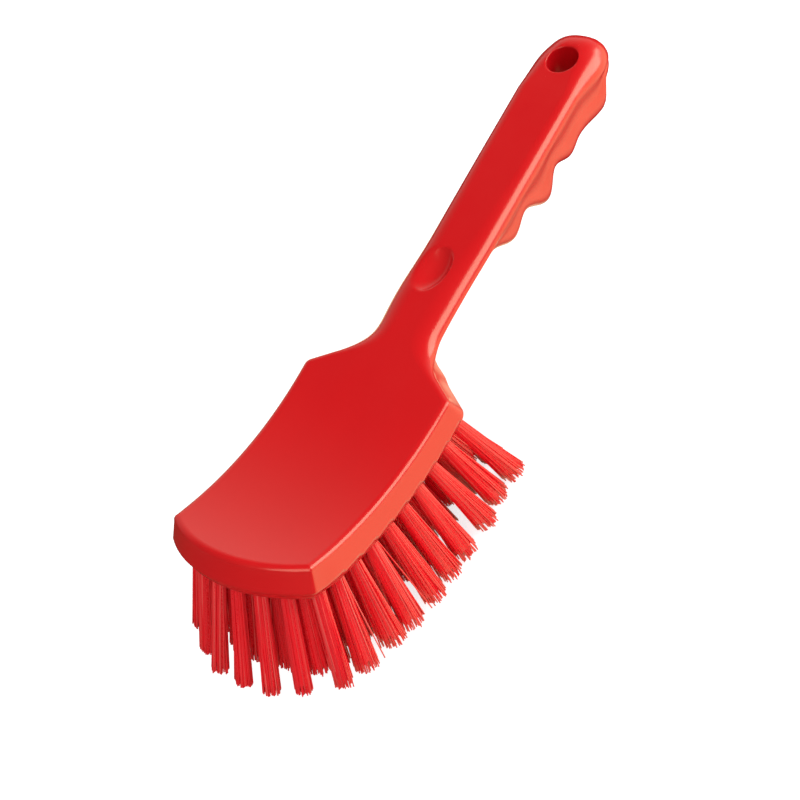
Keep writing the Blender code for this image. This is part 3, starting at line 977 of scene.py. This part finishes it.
        level = np.arange(rings)
        slit_share = np.interp(level, self.slit_rings, self.slit_shares)
        slit = -self.slit_depth * self.slit(station)[:, None] * slit_share[None]
        wedge_share = np.interp(level, self.wedge_rings, self.wedge_shares)
        wedge = self.wedge_rise * self.wedges(station)[:, None] * wedge_share[None]
        head_depth = head_depth[None] - wedge
        inset = -wedge * self.side_flare / self.ridge_depth * (level < self.wedge_inset_rings)[None]
        frontness = 1.0 - ease((station - self.front_corner_station) / self.front_flare_length)
        upright = (self.front_flare - self.side_flare) * frontness[:, None]
        upright = upright * np.clip(head_depth / self.ridge_depth, 0.0, 1.0)
        head_plan = plan(head_offset[None] + slit + inset + upright)
        handle_plan = plan(handle_offset)
        wide = self.handle_share(station)[:, None]
        crisp = ease((station - self.crease_start_station) / self.crease_length)[:, None]
        to_side = ease((level - self.crease_ring) / self.crease_rings)[None]
        share = wide * (1.0 - to_side) + crisp * to_side
        flat = between(head_plan, handle_plan, share[..., None])
        depth = between(head_depth, handle_depth, share)
        across = np.sin(quarter(steps.top))[None, :-1]
        top_station = np.repeat(flat[:, :1, 0], steps.top, axis=1)
        top_side = flat[:, :1, 1] * across
        back = np.linspace(1.0, 0.0, steps.low + 1)[None, 1:]
        low_station = np.repeat(flat[:, -1:, 0], steps.low, axis=1)
        low_side = flat[:, -1:, 1] * back
        low_depth = np.repeat(depth[:, -1:], steps.low, axis=1)
        stations = np.concatenate([top_station, flat[..., 0], low_station], axis=1)
        sides = np.concatenate([top_side, flat[..., 1], low_side], axis=1)
        depths = np.concatenate([np.zeros_like(top_side), depth, low_depth], axis=1)
        upper = np.zeros(stations.shape)
        upper[:, : steps.top + steps.edge + 1] = 1.0
        # painted shade: how dark the slit is painted, ring by ring
        cut = np.zeros(stations.shape)
        cut[:, steps.top : steps.top + rings] = self.slit(station)[:, None] * slit_share[None]
        points = np.stack([stations, sides, depths], axis=-1)
        return SkinGrid(points, upper, self.rubbed.amount(stations, depths, self.head_edge_drop), cut)

    def skin(self) -> bpy.types.Mesh:
        """Close the skin over both halves.

        Returns:
            Its mesh, with the rubbed places and the slit's painted shade as attributes.
        """
        half = self.half_grid()
        both = []
        for sign in (1.0, -1.0):
            sweep = half.points * np.array([1.0, sign, 1.0])
            depth = sweep[..., 2] + self.dish(sweep[..., 0], sweep[..., 1]) * half.upper
            # exactly 0 away from the neck, because tiny offsets along the seam there upset the Boolean
            shift = ease(1.0 - np.abs(sweep[..., 0] - self.neck_shift_station) / self.neck_shift_reach)
            both.append(self.space.spread(sweep[..., 0], sweep[..., 1] + self.neck_shift * shift, depth))
        rows, columns = half.rub.shape
        points = np.concatenate([grid.reshape(-1, 3) for grid in both])
        faces = []
        for part in range(2):
            base = part * rows * columns
            for row in range(rows - 1):
                for column in range(columns - 1):
                    first = base + row * columns + column
                    corners = [first, first + 1, first + columns + 1, first + columns]
                    faces.append(corners if part else corners[::-1])
        mesh = bpy.data.meshes.new("head_and_handle")
        mesh.from_pydata([tuple(point) for point in points], [], faces)
        carry(mesh, SurfaceMark.RUB, np.tile(half.rub.ravel(), 2))
        # the slit's painted shade
        carry(mesh, SurfaceMark.SLIT_SHADE, np.tile(half.slit.ravel(), 2))
        shape = bmesh.new()
        shape.from_mesh(mesh)
        bmesh.ops.remove_doubles(shape, verts=shape.verts, dist=self.merge_reach)
        bmesh.ops.dissolve_degenerate(shape, edges=shape.edges, dist=self.thin_edge)
        bmesh.ops.recalc_face_normals(shape, faces=shape.faces)
        shape.to_mesh(mesh)
        shape.free()
        return mesh

    @staticmethod
    def _turned(cuts: bmesh.types.BMesh, profile: Sequence[Span], steps: int, place: Matrix) -> None:
        """Add a closed turned solid to the cuts.

        Args:
            cuts: The mesh that gathers all cutting solids.
            profile: Pairs of radius and height, from the lower end up.
            steps: How many steps the turn has.
            place: Where the solid goes.
        """
        rings = []
        for radius, height in profile:
            ring = bmesh.ops.create_circle(cuts, segments=steps, radius=radius)["verts"]
            bmesh.ops.translate(cuts, verts=ring, vec=(0.0, 0.0, height))
            bmesh.ops.transform(cuts, verts=ring, matrix=place)
            rings.append(ring)
        faces = []
        for lower, upper in zip(rings, rings[1:]):
            for index in range(steps):
                following = (index + 1) % steps
                corners = (lower[index], lower[following], upper[following], upper[index])
                faces.append(cuts.faces.new(corners))
        faces.append(cuts.faces.new(rings[0]))
        faces.append(cuts.faces.new(rings[-1]))
        bmesh.ops.recalc_face_normals(cuts, faces=faces)

    def _flared(self, radius: float, rim: float, edge: float, direction: float) -> list[Span]:
        """Return a round flare from a hole's wall out to the surface.

        Args:
            radius: The hole's radius.
            rim: The flare's radius.
            edge: The height of the surface.
            direction: 1 where the surface faces up, -1 where it faces down.

        Returns:
            Pairs of radius and height, from the wall outwards.
        """
        pairs = []
        for step in range(self.steps.flare + 1):
            angle = math.pi / 2.0 * step / self.steps.flare
            out = radius + rim * (1.0 - math.cos(angle))
            pairs.append((out, edge - direction * rim * (1.0 - math.sin(angle))))
        pairs.append((radius + rim + self.flare_overrun, edge + direction * self.flare_overrise))
        return pairs

    def cuts(self, tufts: Sequence[Matrix]) -> bpy.types.Object:
        """Return one object with the solids that cut the hanging hole and the tuft holes.

        Args:
            tufts: The place of each tuft.

        Returns:
            The cutting object.
        """
        shape = bmesh.new()
        under = -float(self.thickness(np.array([self.hang_hole_station]))[0])
        radius = self.hang_hole_diameter / 2.0
        upper = self._flared(radius, self.hang_hole_round, 0.0, 1.0)
        lower = self._flared(radius, self.hang_hole_round * self.hang_hole_under_share, under, -1.0)
        middle = self.space.spread(np.array(self.hang_hole_station), np.array(0.0), np.array(0.0))
        self._turned(shape, lower[::-1] + upper, self.steps.hang_hole, Matrix.Translation(Vector(middle)))
        wall = self.tuft_hole_diameter / 2.0
        mouth = self._flared(wall, self.tuft_hole_round, 0.0, -1.0)
        for place in tufts:
            self._turned(shape, mouth[::-1] + [(wall, self.tuft_hole_depth)], self.steps.tuft_hole, place)
        mesh = bpy.data.meshes.new("cuts")
        shape.to_mesh(mesh)
        shape.free()
        return link(mesh)

    def build(self, material: bpy.types.Material, tufts: Sequence[Matrix]) -> None:
        """Build, cut and dress the moulding.

        Args:
            material: Its finish.
            tufts: The place of each tuft.
        """
        body = link(self.skin())
        cutter = self.cuts(tufts)
        cut = body.modifiers.new("holes", "BOOLEAN")
        cut.operation = "DIFFERENCE"
        cut.solver = "EXACT"
        cut.object = cutter
        solid = bpy.data.meshes.new_from_object(body.evaluated_get(bpy.context.evaluated_depsgraph_get()))
        body.modifiers.clear()
        body.data = solid
        bpy.data.objects.remove(cutter)
        solid.shade_smooth()
        solid.set_sharp_from_angle(angle=self.sharp_angle)
        settle(body, material, Slot.HOUSING, "brush_body")


@dataclass(frozen=True)
class TuftPlace:
    """Where one tuft goes, its form, and whether a CAD node of its name stands for it."""

    name: str
    matrix: Matrix
    has_node: bool
    free_length: float
    flare: float


@dataclass
class Bristles:
    """The tufts of filaments, each in its own hole in the underside of the head."""

    space: BrushSpace
    block_thickness: float = 0.0136
    root_radius: float = 0.0024
    root_length: float = 0.006
    free_length: float = 0.044
    filament_count: int = 88
    filament_diameter: float = 0.00056
    filament_sides: int = 5
    filament_steps: int = 6
    rim_share: float = 0.7
    rim_reaches: Span = (0.86, 1.0)
    inner_reach: float = 0.8
    golden_turn: float = 2.399963
    turn_scatter: float = 0.12
    flare_scatter: float = 0.12
    flare_power: float = 1.15
    tip_length_share: float = 0.3
    tip_width_share: float = 0.6
    core_share: float = 0.92
    core_sides: int = 22
    core_reach: float = 0.93
    core_along: float = 0.88
    core_tone: float = 0.4
    core_scatter: float = 0.025
    front_flare: float = 0.0007
    middle_flare: float = 0.0019
    side_flare: float = 0.0025
    stray: float = 0.0006
    stray_share: float = 0.3
    far_stray_share: float = 2.2
    far_stray_chance: float = 0.05
    bow: float = 0.00012
    ragged: float = 0.0009
    ragged_share: float = 0.55
    mean_lengthening: float = -0.0002
    lowest: float = 0.00005
    sharp_angle: float = math.radians(62.0)
    front_station: float = -0.0842
    front_arc_rise: float = 0.0088
    front_spread: float = 0.0566
    rear_station: float = 0.0042
    rear_arc_rise: float = 0.006
    rear_spread: float = 0.0618
    column_shares: Row = (-1.0, -0.667, -0.333, 0.0, 0.333, 0.667, 1.0)
    column_counts: tuple[int, ...] = (10, 8, 7, 7, 7, 8, 10)
    inner_columns: tuple[int, ...] = (2, 3, 4, 5, 6)
    inner_length: float = 0.0395
    inner_rear_length: float = 0.032
    splay_angle: float = math.radians(9)
    front_lean: float = math.radians(-5)
    corner_lean: float = math.radians(2.5)
    rear_lean: float = math.radians(8)
    far_corner_shift: float = -0.0016
    seed: int = 7
    # lean and splay in degrees, as the photograph shows them: the front tufts of columns 2 to 7, then column 1
    front_angles: tuple[Span, ...] = (
        (-1.5, -4.4),
        (-4.9, -4.1),
        (-5.1, -1.2),
        (-4.7, 3.8),
        (-1.6, 6.6),
        (1.7, 11.6),
    )
    near_angles: tuple[Span, ...] = (
        (3.3, -5.4),
        (2.8, -6.6),
        (6.4, -8.0),
        (3.9, -9.6),
        (6.7, -10.1),
        (6.2, -9.5),
        (3.9, -9.8),
        (7.3, -10.7),
        (6.1, -8.4),
        (7.9, -9.7),
    )

    def place(self, column: int, order: float) -> Matrix:
        """Return the place and turn of one tuft.

        Args:
            column: Its column, from 1.
            order: Its place in the column, from 0 at the front; halves lie between tufts.

        Returns:
            The matrix from its own coordinates to the frame.
        """
        share = self.column_shares[column - 1]
        along = order / (self.column_counts[column - 1] - 1)
        front = self.front_station + self.front_arc_rise * share**2
        rear = self.rear_station + self.rear_arc_rise * (1.0 - share**2)
        station = between(front, rear, along)
        side = share * between(self.front_spread, self.rear_spread, along) / 2.0
        lean = between(between(self.front_lean, self.corner_lean, share**2), self.rear_lean, along)
        splay = self.splay_angle * share
        if order == 0 or column == 1:
            angles = self.near_angles[int(order)] if column == 1 else self.front_angles[column - 2]
            lean, splay = (math.radians(angle) for angle in angles)
        if order == 0 and column == len(self.column_shares):
            side += self.far_corner_shift
        return self.space.tuft_place(station, side, self.block_thickness, lean, splay)

    def places(self) -> list[TuftPlace]:
        """List every tuft.

        Returns:
            The tufts column by column from the front, and the inner ones between them.
        """
        found = []
        for column, count in enumerate(self.column_counts, start=1):
            for index in range(count):
                name = f"tuft_column{column}_{index + 1:02d}"
                matrix = self.place(column, index)
                outer = abs(self.column_shares[column - 1]) == 1.0
                flare = self.side_flare if outer else self.middle_flare
                if index == 0:
                    flare = self.front_flare
                found.append(TuftPlace(name, matrix, True, self.free_length, flare))
        for column in self.inner_columns:
            count = self.column_counts[column - 1]
            for index in range(count - 1):
                name = f"tuft_inner{column}_{index + 1:02d}"
                rear_share = max((index + 0.5) / (count - 1) - 0.5, 0.0) * 2.0
                length = between(self.inner_length, self.inner_rear_length, rear_share)
                matrix = self.place(column, index + 0.5)
                found.append(TuftPlace(name, matrix, False, length, self.middle_flare))
        return found

    def strand(self, order: int, place: TuftPlace, chance: np.random.Generator) -> Array:
        """Return the middle line of one filament in its tuft's own coordinates.

        Args:
            order: Which filament of the tuft it is, from the middle outwards.
            place: The tuft.
            chance: The tuft's source of small differences.

        Returns:
            Points from the root down to the tip.
        """
        inside = int(self.filament_count * (1.0 - self.rim_share))
        if order < inside:
            reach = math.sqrt((order + 0.5) / inside) * self.inner_reach
        else:
            reach = chance.uniform(*self.rim_reaches)
        turn = order * self.golden_turn + chance.normal(0.0, self.turn_scatter)
        out = np.array([math.cos(turn), math.sin(turn)])
        base = out * reach * self.root_radius
        drift = out * reach * place.flare * (1.0 + chance.normal(0.0, self.flare_scatter))
        drift = drift + chance.normal(0.0, self.stray * self.stray_share, 2)
        if chance.random() < self.far_stray_chance:
            drift = drift + chance.normal(0.0, self.stray * self.far_stray_share, 2)
        bow = chance.normal(0.0, self.bow, 2)
        length = place.free_length + chance.normal(self.mean_lengthening, self.ragged * self.ragged_share)
        along = np.linspace(0.0, 1.0, self.filament_steps + 1)
        free = np.clip((along * (length + self.root_length) - self.root_length) / length, 0.0, 1.0)
        flat = base[None] + drift[None] * free[:, None] ** self.flare_power
        flat = flat + bow[None] * np.sin(math.pi * free)[:, None]
        height = self.root_length - along * (length + self.root_length)
        return np.concatenate([flat, height[:, None]], axis=1)

    def core(self, place: TuftPlace, chance: np.random.Generator) -> Array:
        """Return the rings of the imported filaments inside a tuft, in its own coordinates.

        Args:
            place: The tuft.
            chance: The tuft's source of small differences.

        Returns:
            Points by ring, from the root down, and by side.
        """
        along = np.linspace(0.0, self.core_reach, self.filament_steps + 1)
        height = self.root_length - along * (place.free_length + self.root_length)
        free = np.clip(-height / place.free_length, 0.0, 1.0)
        angles = np.arange(self.core_sides) * 2.0 * math.pi / self.core_sides
        radius = (self.root_radius + place.flare * free**self.flare_power)[:, None] * self.core_share
        radius = radius * (1.0 + chance.normal(0.0, self.core_scatter, self.core_sides))[None]
        ragged = np.zeros((len(along), self.core_sides))
        ragged[-1] = chance.normal(0.0, self.ragged, self.core_sides)
        return np.stack([radius * np.cos(angles), radius * np.sin(angles), height[:, None] + ragged], axis=-1)

    @staticmethod
    def _tube(base: int, rings: int, sides: int) -> list[list[int]]:
        """Return the faces of a closed tube.

        Args:
            base: The number of its first point.
            rings: How many rings of points it has.
            sides: How many points a ring has.

        Returns:
            The corners of each face.
        """
        faces = []
        for first in range(base, base + (rings - 1) * sides, sides):
            for side in range(sides):
                following = (side + 1) % sides
                faces.append([first + side, first + sides + side, first + sides + following, first + following])
        faces.append([base + side for side in range(sides)])
        faces.append([base + (rings - 1) * sides + side for side in reversed(range(sides))])
        return faces

    def tuft(self, place: TuftPlace, chance: np.random.Generator) -> bpy.types.Mesh:
        """Return the mesh of one tuft, made in place.

        Args:
            place: The tuft's name, place and turn.
            chance: Its source of small differences.

        Returns:
            The mesh, with each filament's tone and the share along it as attributes.
        """
        sides = self.filament_sides
        angles = np.arange(sides) * 2.0 * math.pi / sides
        ring = np.stack([np.cos(angles), np.sin(angles), np.zeros(sides)], axis=1) * self.filament_diameter / 2.0
        core = self.core(place, chance)
        rings, around = core.shape[:2]
        base = rings * around
        points = [core.reshape(-1, 3)]
        faces = self._tube(0, rings, around)
        tones = [np.full(base, self.core_tone)]
        alongs = [np.repeat(np.linspace(0.0, self.core_along, rings), around)]
        for order in range(self.filament_count):
            line = self.strand(order, place, chance)
            end = line[-1] + unit(line[-1] - line[-2]) * self.filament_diameter * self.tip_length_share
            line = np.concatenate([line, end[None]])
            sizes = np.ones(len(line))
            sizes[-1] = self.tip_width_share
            points.append((line[:, None] + ring[None] * sizes[:, None, None]).reshape(-1, 3))
            faces += self._tube(base, len(line), sides)
            tones.append(np.full(len(points[-1]), chance.random()))
            alongs.append(np.repeat(np.linspace(0.0, 1.0, len(line)), sides))
            base += len(points[-1])
        local = np.concatenate(points)
        turn = np.array(place.matrix.to_3x3())
        world = local @ turn.T + np.array(place.matrix.translation)
        world[:, 2] = np.maximum(world[:, 2], self.lowest)
        mesh = bpy.data.meshes.new(place.name + "_filaments")
        mesh.from_pydata([tuple(point) for point in world], [], faces)
        carry(mesh, SurfaceMark.TONE, np.concatenate(tones))
        carry(mesh, SurfaceMark.ALONG, np.concatenate(alongs))
        mesh.shade_smooth()
        mesh.set_sharp_from_angle(angle=self.sharp_angle)
        return mesh

    def build(self, material: bpy.types.Material, places: Sequence[TuftPlace]) -> None:
        """Build and dress every tuft, over its CAD node where it has one.

        Args:
            material: The filaments' finish.
            places: The tufts.
        """
        for order, place in enumerate(places):
            chance = np.random.default_rng([self.seed, order])
            nodes = [place.name] if place.has_node else []
            settle(link(self.tuft(place, chance)), material, Slot.BRISTLE, *nodes)


@dataclass(frozen=True)
class SoftBox:
    """A soft rectangular lamp that lights the brush from one direction."""

    name: str
    towards: Triple
    along: Triple
    distance: float
    width: float
    height: float
    radiance: float

    def build(self, target: Vector) -> None:
        """Hang the lamp so that it faces a target.

        Args:
            target: The point that it faces.
        """
        lamp = bpy.data.lights.new(self.name, "AREA")
        lamp.shape = "RECTANGLE"
        lamp.size, lamp.size_y = self.width, self.height
        lamp.energy = self.radiance * math.pi * self.width * self.height
        holder = link(lamp)
        direction = Vector(self.towards).normalized()
        holder.location = target + direction * self.distance
        long_side = Vector(self.along)
        long_side = (long_side - direction * long_side.dot(direction)).normalized()
        turn = Matrix((long_side, direction.cross(long_side), direction)).transposed()
        holder.rotation_mode = "QUATERNION"
        holder.rotation_quaternion = turn.to_quaternion()


@dataclass
class Studio:
    """A plain pale floor, soft lamps and the camera of the photograph."""

    camera_place: Triple = (-0.23466, -0.34954, 0.53416)
    camera_right: Triple = (0.4709, -0.8032, -0.3649)
    camera_down: Triple = (-0.8194, -0.2449, -0.5182)
    focal_length: float = 75.09
    sensor_width: float = 36.0
    clip_reaches: Span = (0.01, 50.0)
    floor_reach: float = 6.0
    floor_drop: float = 0.0004
    floor_glow: float = 0.74
    floor_colour: Triple = (0.7, 0.7, 0.7)
    # painted reflection: the warm tint and strengths of the glow that glossy rays see on the floor
    painted_reflection_tint: Triple = (1.0, 0.92, 0.6)
    painted_reflection_level: float = 1.5
    least_painted_reflection: float = 0.04
    beside_span: Span = (-0.015, -0.055)
    neck_front_span: Span = (-0.02, 0.04)
    neck_rear_span: Span = (0.11, 0.08)
    neck_side_span: Span = (-0.024, -0.01)
    beyond_span: Span = (-0.2, -0.11)
    fill_level: float = 0.496
    gloss_level: float = 0.76
    least_gloss: float = 0.024
    overhead_span: Span = (0.0, 0.75)
    overhead_power: float = 1.2
    behind_span: Span = (0.5, -0.3)
    behind_share: float = 0.93
    lamp_target: Triple = (0.0, 0.0, 0.05)
    lamps: tuple[SoftBox, ...] = (
        SoftBox(
            "side_box",
            towards=(0.64, -0.63, 0.43),
            along=(0.53, 0.17, -0.55),
            distance=1.2,
            width=1.3,
            height=0.8,
            radiance=3.5,
        ),
        SoftBox(
            "camera_box",
            towards=(-0.5, -0.4, 0.78),
            along=(1.0, 0.0, 0.0),
            distance=1.6,
            width=1.2,
            height=1.2,
            radiance=1.7,
        ),
    )

    def make_camera(self) -> None:
        """Place the camera where the photograph was taken from."""
        data = bpy.data.cameras.new("camera")
        data.lens = self.focal_length
        data.sensor_width = self.sensor_width
        data.clip_start, data.clip_end = self.clip_reaches
        camera = link(data)
        right = Vector(self.camera_right).normalized()
        down = Vector(self.camera_down)
        down = (down - right * down.dot(right)).normalized()
        back = right.cross(-down)
        turn = Matrix((right, -down, back)).transposed()
        camera.matrix_world = Matrix.Translation(Vector(self.camera_place)) @ turn.to_4x4()
        bpy.context.scene.camera = camera

    def make_floor(self) -> None:
        """Lay the floor, which shows white but keeps a pale shadow; to glossy rays it glows instead as a painted
        reflection, warm and bright beside the brush and below its neck, dim beneath the head.
        """
        material, graph = new_material("studio_floor")
        camera, gloss, clear = graph.rays()
        colour = graph.blend(gloss, self.floor_colour, (0.0, 0.0, 0.0))
        shade = graph.add("ShaderNodeBsdfDiffuse", {}, {"Color": colour})
        forward, sideways, _ = graph.parts(graph.place())
        # painted reflection: glossy rays see an emitting floor, bright beside the brush and below the neck, with
        # painted shade beneath the head, tinted warm for the red light the brush throws
        beside = graph.step(sideways, *self.beside_span)
        neck = graph.step(forward, *self.neck_front_span) * graph.step(forward, *self.neck_rear_span)
        neck = neck * graph.step(sideways, *self.neck_side_span)
        near = beside.at_least(neck) * graph.step(forward, *self.beyond_span)
        painted_reflection = (near * (1.0 - self.least_painted_reflection) + self.least_painted_reflection) * self.painted_reflection_level
        seen = (camera + gloss + clear).at_most(1.0)
        strength = (1.0 - gloss) * seen * self.floor_glow + gloss * painted_reflection
        tint = graph.blend(gloss, (1.0, 1.0, 1.0), self.painted_reflection_tint)
        glow = graph.add("ShaderNodeEmission", {}, {"Color": tint, "Strength": strength})
        graph.surface(graph.add("ShaderNodeAddShader", {}, {0: shade.outputs[0], 1: glow.outputs[0]}))
        reach = self.floor_reach
        corners = [(-reach, -reach, 0.0), (reach, -reach, 0.0), (reach, reach, 0.0), (-reach, reach, 0.0)]
        mesh = bpy.data.meshes.new("studio_floor")
        mesh.from_pydata(corners, [], [(0, 1, 2, 3)])
        mesh.materials.append(material)
        floor = link(mesh)
        floor.location.z = -self.floor_drop

    def make_world(self) -> None:
        """Light the air evenly, white to the eye and dim overhead for gloss."""
        world = bpy.data.worlds.new("studio_world")
        world.use_nodes = True
        bpy.context.scene.world = world
        graph = ShaderGraph(world.node_tree)
        camera, gloss, clear = graph.rays()
        forward, _, upward = graph.parts(graph.add("ShaderNodeTexCoord", {}, {}).outputs["Generated"])
        overhead = graph.step(upward, *self.overhead_span)
        behind = graph.step(forward, *self.behind_span)
        mirrored = (1.0 - overhead) ** self.overhead_power * (1.0 - behind * self.behind_share) * self.gloss_level
        mirrored = mirrored.at_least(self.least_gloss)
        plain = (camera + clear).at_most(1.0) * (1.0 - gloss)
        strength = plain + gloss * mirrored + (1.0 - plain) * (1.0 - gloss) * self.fill_level
        shader = graph.add("ShaderNodeBackground", {}, {"Color": (1.0, 1.0, 1.0, 1.0), "Strength": strength})
        graph.add("ShaderNodeOutputWorld", {}, {"Surface": shader.outputs[0]})

    def build(self) -> None:
        """Build the whole studio."""
        self.make_camera()
        self.make_floor()
        self.make_world()
        for lamp in self.lamps:
            lamp.build(Vector(self.lamp_target))
        bpy.context.scene.view_settings.view_transform = "Standard"
        LOG.info("studio: %d lamps", len(self.lamps))


def main() -> None:
    """Build the brush and its studio."""
    logging.basicConfig(level=logging.INFO, format="%(name)s: %(message)s")
    space = BrushSpace()
    bristles = Bristles(space)
    places = bristles.places()
    Moulding(space).build(MouldedPlastic().make(), [place.matrix for place in places])
    bristles.build(BristleFilament().make(), places)
    Studio().build()


if __name__ == "__main__":
    main()
